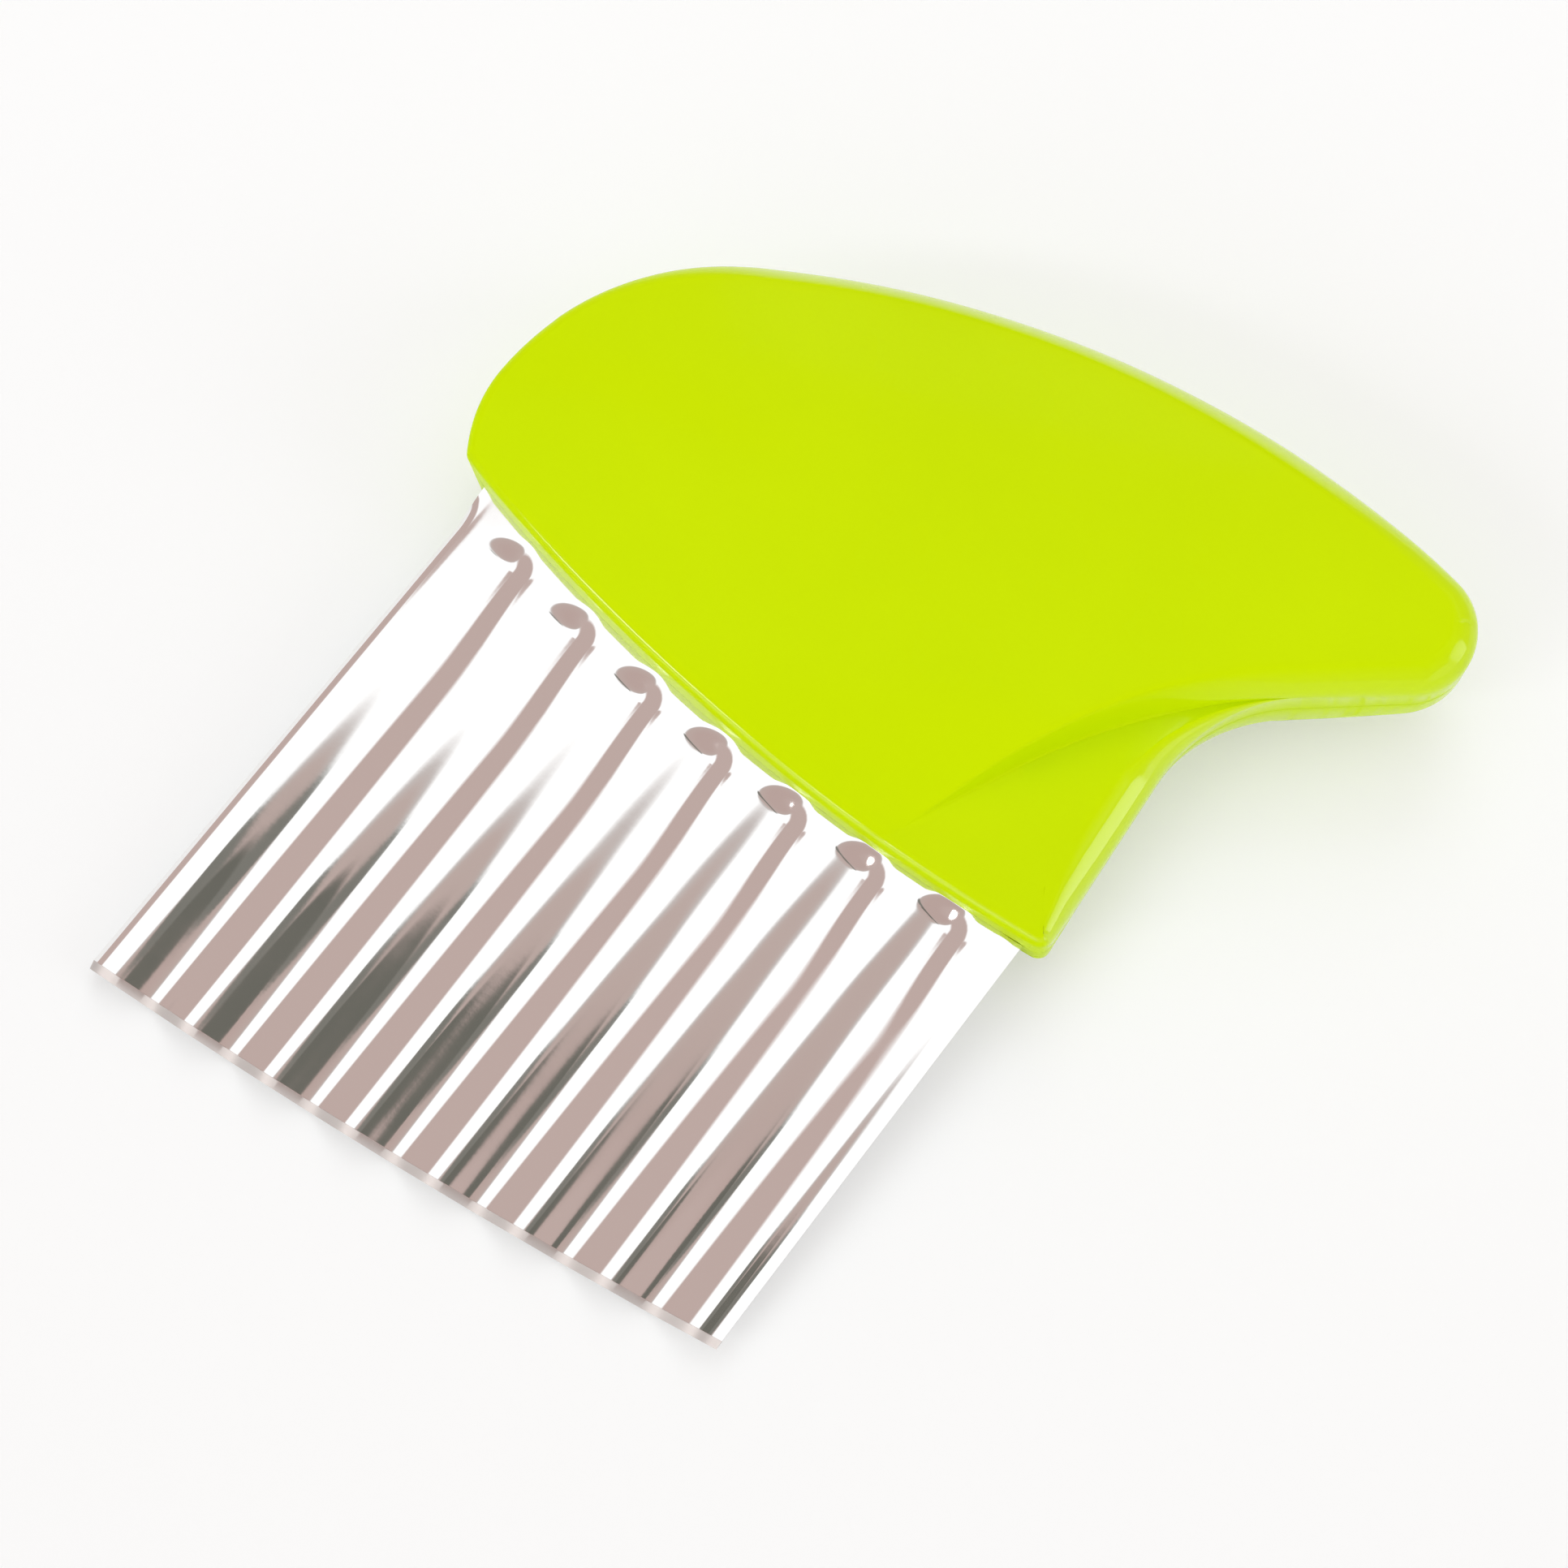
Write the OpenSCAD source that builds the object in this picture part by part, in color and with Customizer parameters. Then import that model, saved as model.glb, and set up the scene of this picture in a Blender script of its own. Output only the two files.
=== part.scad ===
// Crinkle cutter: a fluted steel blade clamped between two moulded handle shells.
// Drawn lying on its rear shell and its cutting edge, as it is put down on a table.

/* [Blade] */
// Width of the blade across its flutes
blade_w = 73; // [66:0.5:80]
// Thickness of the steel sheet
blade_t = 0.8; // [0.5:0.1:1.2]
// Slant of the cutting edge against a line square to the flutes
edge_slant = 7; // [0:0.5:10]
// Belly of the cutting edge at its middle
edge_belly = 0.9; // [0:0.1:2]
// Width of the ground bevel along the cutting edge
bevel_w = 0.9; // [0.4:0.1:1.5]
// Thickness left at the very edge
edge_land = 0.15; // [0.1:0.05:0.3]
// Distance between neighbouring flutes
flute_pitch = 9.7; // [8.5:0.1:10.2]
// Number of whole flutes pressed into the sheet
flute_count = 7; // [5:1:7]
// Depth of the flutes at the cutting edge
flute_depth = 2.4; // [1.5:0.1:3]
// Depth to which the sheet is turned down along its heel side
heel_side_depth = 2; // [0:0.1:2.4]
// Depth to which the sheet is turned down along its fin side
fin_side_depth = 0.5; // [0:0.1:2.4]
// Share by which the flanks of the flutes are flattened
flute_flat = 0.05; // [0:0.005:0.06]
// Depth of the flutes just below their round ends
flute_end_depth = 1; // [0.6:0.1:1.4]
// Radius of the flutes' round ends
flute_end_r = 3.2; // [2.6:0.1:4]
// Length over which a flute widens from its round end to the full pitch
flute_widen = 14; // [8:1:20]
// Gap between the lip and the round end of the flute at the heel
flute_gap_heel = 2; // [1:0.1:4]
// Gap between the lip and the round end of the flute at the fin
flute_gap_fin = 0.3; // [0:0.1:2]

/* [Tang] */
// Height of the lip at its lowest above the heel corner of the cutting edge
lip_low = 56.4; // [50:0.5:62]
// Height of the flat top of the tang above the lip's lowest point
tang_h = 23; // [21:0.5:25]
// Height above the lip's lowest point to which the tang keeps the full width
shoulder_h = 7.6; // [7:0.2:10]
// Narrowing of the tang at the heel
tang_in_heel = 5; // [3:0.5:8]
// Narrowing of the tang at the fin
tang_in_fin = 16; // [12:0.5:18]

/* [Handle outline] */
// Radius of the lip's long curve
lip_r = 165; // [140:1:220]
// Place of the lip's lowest point across the blade
lip_x = 52; // [46:0.5:56]
// Reach of the heel past the blade
heel_reach = 5; // [3.5:0.1:7]
// Radius of the heel's upper corner
heel_r = 30; // [24:0.5:36]
// Radius of the heel's lower corner
heel_low_r = 3.4; // [3:0.1:5]
// Height of the back above the lip's lowest point
back_h = 57.6; // [52:0.5:62]
// Radius of the long curve of the back
back_r = 112; // [100:1:130]
// Place of the back's highest point across the blade
back_x = 66; // [60:0.5:70]
// Reach of the tail past the fin side of the blade
tail_reach = 18.5; // [14:0.5:24]
// Radius of the tail's tip
tail_r = 6.9; // [5.5:0.1:8]
// Slope of the tail's underside
under_slope = 39; // [34:1:44]
// Slope at which the crease of the fin leaves the lip
crease_slope = 66; // [60:1:72]
// Place across the blade where the crease meets the lip
crease_x = 56; // [52:0.5:58]
// Radius of the crease between fin and tail
crease_r = 60; // [40:1:70]
// Reach of the fin past the blade
fin_reach = 2.4; // [1.6:0.1:4]
// Lean of the fin's free side
fin_lean = 4; // [0:0.5:6]
// Radius of the finger notch between fin and tail
notch_r = 17; // [12:0.5:20]
// Radius of the fin's lower corner
fin_corner_r = 1.5; // [1.2:0.1:2.5]

/* [Handle thickness] */
// Radius of the crown across the body
crown_r = 80; // [60:1:120]
// Half thickness of the handle at its crown
crown_h = 9.3; // [8.4:0.1:10.5]
// Half thickness of the fin
fin_h = 3.2; // [2.8:0.1:4]
// Half the gap left between the fin's two halves at the parting line
fin_seam = 0.05; // [0.02:0.01:0.1]
// Half thickness of the body at the lip
lip_h = 5.6; // [5:0.1:6.5]
// Half thickness of the body along its back
back_edge_h = 6.2; // [5.4:0.1:7]
// Half thickness of the body round the heel
heel_edge_h = 5.4; // [5:0.1:6.4]
// Half thickness of the body round the tail
tail_edge_h = 5; // [4.6:0.1:6]
// Width of the rounding round heel and tail
round_w = 3; // [2:0.1:4]
// Width of the rounding along the lip
lip_round = 0.8; // [0.5:0.1:1.2]
// Width of the slope where the body falls to the fin
crease_round = 3; // [2:0.1:4]
// Height by which the body stands above the fin where the crease begins
crease_step = 0.3; // [0.2:0.05:0.6]

/* [Handle inside] */
// Wall of the handle shells
wall_t = 2.2; // [1.6:0.1:2.6]
// Thickness of the ribs inside the shells
rib_t = 1.6; // [1:0.1:2.4]
// Diameter of the locating posts
post_d = 5; // [4:0.1:6]
// Distance between the posts through the tang
post_pitch = 18; // [16:0.5:19]
// Distance of the middle post from the lip's lowest point, toward the heel
post_in = 20; // [18:0.5:22]
// Height of the posts through the tang above the lip's lowest point
post_up = 15; // [13.5:0.5:16]
// Height of the post under the back above the lip's lowest point
back_post_up = 40; // [37:0.5:42]
// Distance of the tail's post from the centre of the tail's tip
tail_post_in = 12; // [10:0.5:14]
// Depth to which a post enters the other shell
post_l = 5; // [3.5:0.1:5.6]
// Wall of the bosses round posts and sockets
boss_wall = 2; // [1.4:0.1:2.6]
// Clearance of a post in its socket and in the tang, all round
post_fit = 0.1; // [0.05:0.05:0.3]
// Clearance of the tang in the shells, on every side
tang_fit = 0.05; // [0.02:0.01:0.15]

/* [Hidden] */

steel = [0.80, 0.80, 0.80];
lime = [0.79, 0.90, 0.02];

// Finenesses of the faceted forms
columns_per_flute = 12;
stations = 44;
across = 8;
roll_steps = 5;
pace_per_degree = 0.12;
same_point = 0.001;
cavity_stations = 20;
cavity_across = 4;
fin_steps = 8;
$fn = 48;

// Plane geometry
function clamp01(t) = max(0, min(1, t));
function ease(t) = let (c = clamp01(t)) c * c * (3 - 2 * c);
function mix(a, b, t) = a + (b - a) * t;
function heading(a) = [cos(a), sin(a)];
function right_of(a) = [sin(a), -cos(a)];
function cross2(a, b) = a.x * b.y - a.y * b.x;
function meet(p, d, q, e) = p + d * (cross2(q - p, e) / cross2(d, e));
function arc(c, r, from, to, n) = [for (k = [0:n]) c + r * heading(mix(from, to, k / n))];
function angle_to(p) = atan2(p.y, p.x);
function turn(a) = a < 0 ? a + 360 : a;

// The point on a line through p along d that lies at distance r from c, the further one along d
function on_circle(p, d, c, r) =
    let (h = (p - c) * d)
    p + d * (sqrt(h * h - (p - c) * (p - c) + r * r) - h);

// Stations along a path, closer where it bends, and their outward normals on a clockwise ring
function bend(path, i) =
    let (d = path[i] - path[max(i - 1, 0)], e = path[i + 1] - path[i])
    min(norm(d), norm(e)) < same_point ? 0 : abs(atan2(cross2(d, e), d * e));
function paces(path, i = 0, sum = 0) =
    i == len(path) - 1 ? [sum]
    : let (step = norm(path[i + 1] - path[i]) + pace_per_degree * bend(path, i))
      concat([sum], paces(path, i + 1, sum + step));
function along(path, n) =
    let (s = paces(path), last = s[len(s) - 1])
    let (tx = [for (i = [0:len(path) - 1]) [s[i], path[i].x]])
    let (ty = [for (i = [0:len(path) - 1]) [s[i], path[i].y]])
    [for (k = [0:n]) [lookup(last * k / n, tx), lookup(last * k / n, ty)]];
function normals(ring) =
    let (n = len(ring))
    [for (i = [0:n - 1])
        let (d = ring[(i + 1) % n] - ring[(i + n - 1) % n])
        [-d.y, d.x] / norm(d)];

// Handle outline in plan: X across the blade, Y away from the cutting edge
lip_c = [lip_x, lip_low + lip_r];
back_c = [back_x, lip_low + back_h - back_r];
function lip_y(x) = lip_c.y - sqrt(lip_r * lip_r - pow(x - lip_x, 2));

heel_c = let (x = heel_r - heel_reach)
    [x, back_c.y + sqrt(pow(back_r - heel_r, 2) - pow(x - back_x, 2))];
heel_low_c = let (x = heel_low_r - heel_reach)
    [x, lip_c.y - sqrt(pow(lip_r - heel_low_r, 2) - pow(x - lip_x, 2))];
tail_c = let (x = blade_w + tail_reach - tail_r)
    [x, back_c.y + sqrt(pow(back_r - tail_r, 2) - pow(x - back_x, 2))];

under_p = tail_c + tail_r * right_of(under_slope);
crease_p = [crease_x, lip_y(crease_x)];
crease_c = meet(crease_p + crease_r * right_of(crease_slope), heading(crease_slope),
    under_p + crease_r * right_of(under_slope), heading(under_slope));
crease_low_r = 2 * wall_t;
crease_low_c = on_circle(crease_p - crease_low_r * right_of(crease_slope),
    -heading(crease_slope), lip_c, lip_r - crease_low_r);

back_from = angle_to(heel_c - back_c);
back_to = angle_to(tail_c - back_c);
lip_from = turn(angle_to(heel_low_c - lip_c));
lip_to = turn(angle_to(crease_low_c - lip_c));

upper_path = concat(
    arc(heel_c, heel_r, 180, back_from, 20),
    arc(back_c, back_r, back_from, back_to, 40),
    arc(tail_c, tail_r, back_to, 0, 20));
lower_path = concat(
    [[-heel_reach, heel_c.y]],
    arc(heel_low_c, heel_low_r, 180, lip_from, 16),
    arc(lip_c, lip_r, lip_from, lip_to, 30),
    arc(crease_low_c, crease_low_r, lip_to, crease_slope + 270, 10),
    arc(crease_c, crease_r, crease_slope + 90, under_slope + 90, 20),
    arc(tail_c, tail_r, under_slope - 90, 0, 20));

// The fin's outline: along the lip, round the free side and the notch, and back inside the body's wall
fin_side = 90 + fin_lean;
fin_p = let (x = blade_w + fin_reach) [x, lip_y(x)];
fin_sink = 0.4;
fin_step = 0.1;
fin_root = 0.75 * wall_t;
notch_c = meet(fin_p + notch_r * right_of(fin_side), heading(fin_side),
    under_p + (notch_r - fin_sink) * right_of(under_slope), heading(under_slope));
fin_corner_c = on_circle(fin_p - fin_corner_r * right_of(fin_side),
    -heading(fin_side), lip_c, lip_r - fin_step - fin_corner_r);
fin_lip_from = 270 - asin((lip_x - crease_x + crease_low_r) / lip_r);
fin_lip_to = turn(angle_to(fin_corner_c - lip_c));
fin_path = concat(
    arc(lip_c, lip_r - fin_step, fin_lip_from, fin_lip_to, fin_steps),
    arc(fin_corner_c, fin_corner_r, fin_lip_to, fin_side + 270, fin_steps),
    [fin_corner_c + fin_corner_r * right_of(fin_side) + fin_h * heading(fin_side)],
    arc(notch_c, notch_r, fin_side + 90, under_slope + 90, fin_steps),
    arc(crease_c, crease_r + fin_root, under_slope + 90, crease_slope + 90, fin_steps));

// Edge of the body: half thickness, width, height and roundness of its rounding,
// which is an ellipse round heel and tail and nearly a flat facet at the middle of the back
ellipse = 2;
facet = 1.2;
facet_rise = 1.25;
back_from_f = 0.3;
back_to_f = 0.7;
crease_full = 0.4;
function upper_edge(f) =
    let (bulge = pow(sin(180 * f), 2))
    [lookup(f, [[0, heel_edge_h], [back_from_f, back_edge_h], [back_to_f, back_edge_h], [1, tail_edge_h]]),
     round_w, mix(1, facet_rise, bulge) * round_w, mix(ellipse, facet, bulge)];
function lower_edge(x) =
    let (foot = mix(crease_x, tail_c.x, crease_full), low_x = heel_low_c.x)
    let (under_x = tail_c.x - tail_r, tip_x = tail_c.x + tail_r)
    [lookup(x, [[-heel_reach, heel_edge_h], [low_x, lip_h], [lip_x / 2, lip_h],
        [crease_x, fin_h + crease_step], [foot, back_edge_h], [tail_c.x, tail_edge_h]]),
     lookup(x, [[-heel_reach, round_w], [low_x, lip_round], [crease_x - crease_low_r, lip_round],
        [(crease_x + foot) / 2, crease_round], [foot, crease_round],
        [under_x, round_w / 2], [tip_x, round_w]]),
     lookup(x, [[-heel_reach, round_w], [low_x, lip_round], [crease_x, lip_round],
        [foot, back_edge_h - fin_h / 2], [under_x, round_w / 2], [tip_x, round_w]]),
     ellipse];
function body_edge(ring, i, n) = i <= n ? upper_edge(i / n) : lower_edge(ring[i].x);

function body_ring(n) =
    let (up = along(upper_path, n), low = along(lower_path, n))
    concat(up, [for (k = [n - 1:-1:1]) low[k]]);

// One level of a rounded edge: t runs from 0 at the wall's top to 1 at the face
function level(ring, edges, t) =
    let (nrm = normals(ring))
    [for (i = [0:len(ring) - 1])
        let (e = edges[i], s = pow(sin(90 * t), 2 / e[3]), c = pow(cos(90 * t), 2 / e[3]))
        let (p = ring[i] - e[1] * (1 - c) * nrm[i])
        [p.x, p.y, e[0] - e[2] * (1 - s)]];
function at_height(ring, z, inset = 0) =
    let (nrm = normals(ring))
    [for (i = [0:len(ring) - 1]) let (p = ring[i] - inset * nrm[i]) [p.x, p.y, z]];

// Points of the face between the upper and the lower edge, arched with the radius of the crown
function face_points(top, n, q) =
    [for (j = [1:n - 1], k = [1:q - 1])
        let (a = top[j], b = top[2 * n - j], w = k / q)
        mix(a, b, w) + [0, 0, w * (1 - w) * (b - a) * (b - a) / (2 * crown_r)]];

function flat(lists) = [for (l = lists, p = l) p];
function band(n, r) =
    [for (i = [0:n - 1])
        let (a = r * n + i, b = r * n + (i + 1) % n)
        each [[a, b, b + n], [a, b + n, a + n]]];
function face_index(n, q, top, j, k) =
    j == 0 ? top : j == n ? top + n
    : k == 0 ? top + j : k == q ? top + 2 * n - j
    : top + 2 * n + (j - 1) * (q - 1) + k - 1;
function face_cells(n, q, top) =
    [for (j = [0:n - 1], k = [0:q - 1])
        let (a = face_index(n, q, top, j, k), b = face_index(n, q, top, j + 1, k))
        let (c = face_index(n, q, top, j + 1, k + 1), d = face_index(n, q, top, j, k + 1))
        each concat(b == c ? [] : [[a, b, c]], a == d ? [] : [[a, c, d]])];

// The crowned body of one handle half, above the parting plane
function body_levels(n) =
    let (ring = body_ring(n), edges = [for (i = [0:2 * n - 1]) body_edge(ring, i, n)])
    concat([at_height(ring, 0)], [for (k = [0:roll_steps]) level(ring, edges, k / roll_steps)]);
module crowned(levels, n, q) {
    rings = len(levels);
    top = (rings - 1) * 2 * n;
    polyhedron(
        points = concat(flat(levels), face_points(levels[rings - 1], n, q)),
        faces = concat([[for (i = [2 * n - 1:-1:0]) i]],
            [for (r = [0:rings - 2]) each band(2 * n, r)], face_cells(n, q, top)));
}
outer_levels = body_levels(stations);
outer_face = face_points(outer_levels[roll_steps + 1], stations, across);

// The hollow under the body, reaching below the parting plane for a clean cut
cut = 1;
hollow_ease = 0.5;
module hollow() {
    ring = body_ring(cavity_stations);
    edges = [for (i = [0:2 * cavity_stations - 1]) body_edge(ring, i, cavity_stations)];
    nrm = normals(ring);
    roof = [for (i = [0:2 * cavity_stations - 1])
        let (p = ring[i] - (wall_t + edges[i][1] / 2) * nrm[i])
        [p.x, p.y, edges[i][0] - wall_t - hollow_ease]];
    low = at_height(ring, -cut, wall_t);
    side = at_height(ring, fin_h / 2, wall_t);
    crowned([low, side, roof], cavity_stations, cavity_across);
}

// The thin fin that carries the lip on to the corner of the blade
fin_side_round = fin_h - lip_round;
fin_from_last = [for (k = [len(fin_path) - 1:-1:0]) k];
fin_ring = [for (k = fin_from_last) fin_path[k]];
fin_edges = [for (k = fin_from_last)
    let (r = lookup(k, [[2 * fin_steps + 1, lip_round], [2 * fin_steps + 2, fin_side_round],
        [3 * fin_steps + 1, fin_side_round], [3 * fin_steps + 3, fin_step]]))
    [fin_h, r, r, ellipse]];
fin_levels = concat([at_height(fin_ring, fin_seam)],
    [for (k = [0:roll_steps]) level(fin_ring, fin_edges, k / roll_steps)]);
module fin() {
    n = len(fin_ring);
    polyhedron(points = flat(fin_levels),
        faces = concat([[for (i = [n - 1:-1:0]) i]],
            [for (r = [0:roll_steps]) each band(n, r)],
            [[for (i = [0:n - 1]) (roll_steps + 1) * n + i]]));
}

// Flutes pressed into the sheet: round ends along the lip, deepest at the cutting edge
deepen = 1.5;
function edge_y(x) = x * tan(edge_slant) - 4 * edge_belly * (x / blade_w) * (1 - x / blade_w);
function flute_x(i) = blade_w / 2 + (i - (flute_count - 1) / 2) * flute_pitch;
function flute_gap(i) =
    i < 0 || i >= flute_count ? 0 : mix(flute_gap_heel, flute_gap_fin, i / (flute_count - 1));
function flute_top(i) = lip_y(flute_x(i)) - flute_gap(i);
function full_depth(i) = i < 0 ? heel_side_depth : i >= flute_count ? fin_side_depth : flute_depth;
function press_depth(i, run) =
    full_depth(i) / flute_depth * mix(flute_end_depth, flute_depth, pow(run, deepen));
function wave(rho) = (1 + (cos(180 * rho) + flute_flat * cos(540 * rho)) / (1 + flute_flat)) / 2;
function flute_z(x, y) =
    let (i = round((x - flute_x(0)) / flute_pitch), dx = abs(x - flute_x(i)), e = flute_top(i) - y)
    let (half = mix(flute_end_r, flute_pitch / 2, ease((e - flute_end_r) / flute_widen)))
    let (rho = e > flute_end_r ? dx / half : norm([dx, flute_end_r - e]) / flute_end_r)
    let (run = clamp01(e / (flute_top(i) - edge_y(flute_x(i)))))
    rho < 1 ? -press_depth(i, run) * wave(rho) : 0;

// Sheet rows: the bevel, even steps up the flutes, close steps round their ends, then the tang
long_rows = 4;
close_rows = 9;
close_run = 10;
closing = 1.5;
shoulder_y = lip_low + shoulder_h;
tang_y = lip_low + tang_h;
function tang_top(x) =
    mix(shoulder_y, tang_y, min(1, x / tang_in_heel, (blade_w - x) / tang_in_fin));
function sheet_rows(x) =
    let (edge = edge_y(x), start = edge + bevel_w, ends = lip_y(x))
    concat([edge],
        [for (k = [0:long_rows - 1]) mix(start, ends - close_run, k / long_rows)],
        [for (k = [close_rows:-1:0]) ends - close_run * pow(k / close_rows, closing)],
        [max(shoulder_y, lip_y(0)), max(shoulder_y, lip_y(0)) + tang_top(x) - shoulder_y + cut]);
columns = round(blade_w / flute_pitch * columns_per_flute);
sheet_top = [for (c = [0:columns])
    let (x = blade_w * c / columns, rows = sheet_rows(x))
    [for (r = [0:len(rows) - 1])
        [x, rows[r], flute_z(x, rows[r]) + (r == 0 ? edge_land - blade_t / 2 : blade_t / 2)]]];
sheet_bottom = [for (col = sheet_top)
    [for (r = [0:len(col) - 1]) col[r] - [0, 0, r == 0 ? edge_land : blade_t]]];
module sheet() {
    rows = len(sheet_top[0]);
    half = (columns + 1) * rows;
    below = [half, half, half];
    function at(c, r) = c * rows + r;
    cells = [for (c = [0:columns - 1], r = [0:rows - 2])
        [at(c, r), at(c, r + 1), at(c + 1, r + 1), at(c + 1, r)]];
    rim = concat(
        [for (c = [0:columns - 1]) [at(c, 0), at(c + 1, 0)]],
        [for (r = [0:rows - 2]) [at(columns, r), at(columns, r + 1)]],
        [for (c = [columns:-1:1]) [at(c, rows - 1), at(c - 1, rows - 1)]],
        [for (r = [rows - 1:-1:1]) [at(0, r), at(0, r - 1)]]);
    polyhedron(points = concat(flat(sheet_top), flat(sheet_bottom)),
        faces = concat(
            [for (f = cells) each [[f[0], f[1], f[2]], [f[0], f[2], f[3]]]],
            [for (f = cells) each [[f[2], f[1], f[0]] + below, [f[3], f[2], f[0]] + below]],
            [for (e = rim) each [[e[0] + half, e[0], e[1]], [e[0] + half, e[1], e[1] + half]]]));
}

// Locating posts: three through the tang, one under the back and one in the tail
mid_x = lip_x - post_in;
tang_posts = [for (k = [-1:1]) [mid_x + k * post_pitch, lip_low + post_up]];
back_post = [mid_x, lip_low + back_post_up];
tail_post = tail_c - tail_post_in * heading(under_slope / 2);
posts = concat(tang_posts, [back_post, tail_post]);
socket_d = post_d + 2 * post_fit;
boss_d = socket_d + 2 * boss_wall;
ribs = [for (k = [-1:1]) mid_x + (k + 0.5) * post_pitch];
skin_top = max([for (p = outer_face) p.z]);
inner_h = skin_top + 3 * cut;

// Lying attitude: turned so that the cutting edge runs along X, then tipped until it touches the table
function turned(p) =
    let (c = cos(edge_slant), s = sin(edge_slant))
    [p.x * c + p.y * s, p.y * c - p.x * s, p.z];
function tipped(p, a) = [p.x, p.y * cos(a) - p.z * sin(a), p.y * sin(a) + p.z * cos(a)];
function lowest(points, a) = min([for (p = points) p.y * sin(a) + p.z * cos(a)]);
shell_points = [for (p = concat(flat(outer_levels), outer_face, flat(fin_levels)))
    [p.x, p.y, p.z * crown_h / skin_top]];
rear_points = [for (p = shell_points) turned([p.x, p.y, -p.z])];
edge_points = [for (col = sheet_bottom) turned(col[0])];
most_tilt = 15;
tilt_tries = 30;
function rest_tilt(a, b, n) =
    let (m = (a + b) / 2)
    n == 0 ? m
    : lowest(rear_points, m) < lowest(edge_points, m) ? rest_tilt(m, b, n - 1)
    : rest_tilt(a, m, n - 1);
tilt = rest_tilt(0, most_tilt, tilt_tries);

front_points = [for (p = concat(shell_points, flat(sheet_bottom))) turned(p)];
hull_points = [for (p = concat(rear_points, front_points)) tipped(p, tilt)];
function middle(v) = (min(v) + max(v)) / 2;
origin = [middle([for (p = hull_points) p.x]), middle([for (p = hull_points) p.y]),
    min([for (p = hull_points) p.z])];
module lying() {
    translate(-origin) rotate([tilt, 0, 0]) rotate([0, 0, -edge_slant]) children();
}

module blade() {
    color(steel) lying() difference() {
        sheet();
        for (p = tang_posts)
            translate([p.x, p.y, -cut - blade_t]) cylinder(d = socket_d, h = 2 * (cut + blade_t));
    }
}

// Room for the tang and the flat strip of the blade in one shell
module tang_seat() {
    translate([0, 0, -cut]) linear_extrude(cut + blade_t / 2 + tang_fit) polygon([
        [-tang_fit, lip_low - cut],
        [blade_w + tang_fit, lip_low - cut],
        [blade_w + tang_fit, shoulder_y + tang_fit],
        [blade_w - tang_in_fin + tang_fit, tang_y + tang_fit],
        [tang_in_heel - tang_fit, tang_y + tang_fit],
        [-tang_fit, shoulder_y + tang_fit]]);
}

// One handle half above the parting plane, with its ribs and bosses
module half_shell() {
    difference() {
        resize([0, 0, crown_h]) difference() {
            union() {
                crowned(outer_levels, stations, across);
                fin();
            }
            difference() {
                hollow();
                for (p = posts)
                    translate([p.x, p.y, -2 * cut]) cylinder(d = boss_d, h = inner_h);
                for (x = ribs)
                    translate([x - rib_t / 2, 0, -2 * cut]) cube([rib_t, lip_low + back_h, inner_h]);
            }
        }
        tang_seat();
    }
}

module handle_front_shell() {
    color(lime) lying() union() {
        half_shell();
        for (p = posts) translate([p.x, p.y, -post_l]) cylinder(d = post_d, h = post_l + fin_h);
    }
}

module handle_rear_shell() {
    color(lime) lying() mirror([0, 0, 1]) difference() {
        half_shell();
        for (p = posts) translate([p.x, p.y, -cut]) cylinder(d = socket_d, h = cut + post_l + post_fit);
    }
}

blade();
handle_front_shell();
handle_rear_shell();
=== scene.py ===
import math
from types import SimpleNamespace

import bpy
import numpy as np
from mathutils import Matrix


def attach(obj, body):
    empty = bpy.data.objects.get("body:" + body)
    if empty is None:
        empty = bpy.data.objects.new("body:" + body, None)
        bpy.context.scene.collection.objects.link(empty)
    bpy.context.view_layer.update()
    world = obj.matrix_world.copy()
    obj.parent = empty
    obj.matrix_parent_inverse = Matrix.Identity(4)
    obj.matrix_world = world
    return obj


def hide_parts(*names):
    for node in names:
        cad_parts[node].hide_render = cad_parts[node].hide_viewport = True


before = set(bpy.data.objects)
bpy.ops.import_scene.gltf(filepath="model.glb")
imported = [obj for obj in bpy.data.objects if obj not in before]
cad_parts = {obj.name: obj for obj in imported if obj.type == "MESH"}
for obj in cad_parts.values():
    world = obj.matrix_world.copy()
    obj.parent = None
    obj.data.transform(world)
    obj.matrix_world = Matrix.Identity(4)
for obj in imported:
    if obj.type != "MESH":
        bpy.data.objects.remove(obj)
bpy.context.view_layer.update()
print("frame loaded", sorted(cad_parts))

# The cutter is drawn flat in mm: X across the blade, Y from edge to handle, Z to the viewer.
# It is then turned until the edge runs along X, and tipped on to the table.
lying = {"slant": 7.0, "tilt": 4.79976, "origin": (51.8374, 52.4712, -2.86493), "mmPerMetre": 1000}
tiny = 1e-6  # points closer than this are one


def layDown(points):
    a, b = math.radians(lying["slant"]), math.radians(lying["tilt"])
    turn = np.array([[math.cos(a), math.sin(a), 0], [-math.sin(a), math.cos(a), 0], [0, 0, 1]])
    tip = np.array([[1, 0, 0], [0, math.cos(b), -math.sin(b)], [0, math.sin(b), math.cos(b)]])
    return (points @ turn.T @ tip.T - np.array(lying["origin"])) / lying["mmPerMetre"]


def smoothStep(t):
    c = np.clip(t, 0, 1)
    return c * c * (3 - 2 * c)


def blend(a, b, share):
    return a + (b - a) * share


def between(p, q, steps):  # rows of points from p to q, without the ends
    share = np.linspace(0, 1, steps + 1)[1:-1]
    return blend(p[:, None], q[:, None], share[None, :, None])


def glide(x, keys):  # soft steps between (place, value) keys
    xs, ys = zip(*keys)
    at = np.interp(x, xs, range(len(xs)))
    low = np.floor(at)
    return np.interp(low + smoothStep(at - low), range(len(ys)), ys)


def heading(a):
    return np.array([math.cos(math.radians(a)), math.sin(math.radians(a))])


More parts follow.
